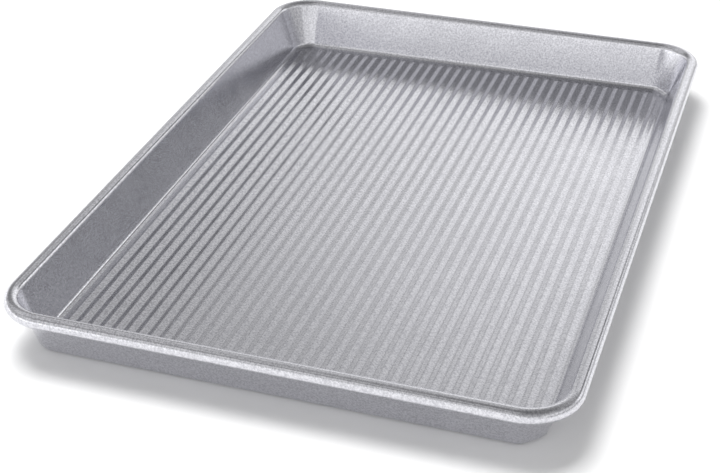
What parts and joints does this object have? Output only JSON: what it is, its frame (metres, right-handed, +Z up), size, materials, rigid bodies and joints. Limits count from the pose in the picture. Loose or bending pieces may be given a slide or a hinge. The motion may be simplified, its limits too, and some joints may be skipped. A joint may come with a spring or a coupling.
{
  "type": "jelly roll pan",
  "caption": "Shallow oblong baking pan of fluted sheet steel with flared walls, rounded corners and a rim curled round a wire, for thin sponges and bakes.",
  "frame": {"origin": "centre of the underside, on the surface that the pan stands on", "axes": "+X across the width, +Y along the length and the flutes, +Z up out of the open top"},
  "size_m": [0.2666, 0.381, 0.0279],
  "materials": {
    "aluminised_steel": "matt silvery hot-dipped coating with a fine speckle, under a clear release film",
    "wire_steel": "drawn wire, plain"
  },
  "bodies": {
    "root": {"pan_shell": "aluminised_steel", "rim_wire": "wire_steel"}
  },
  "joints": []
}
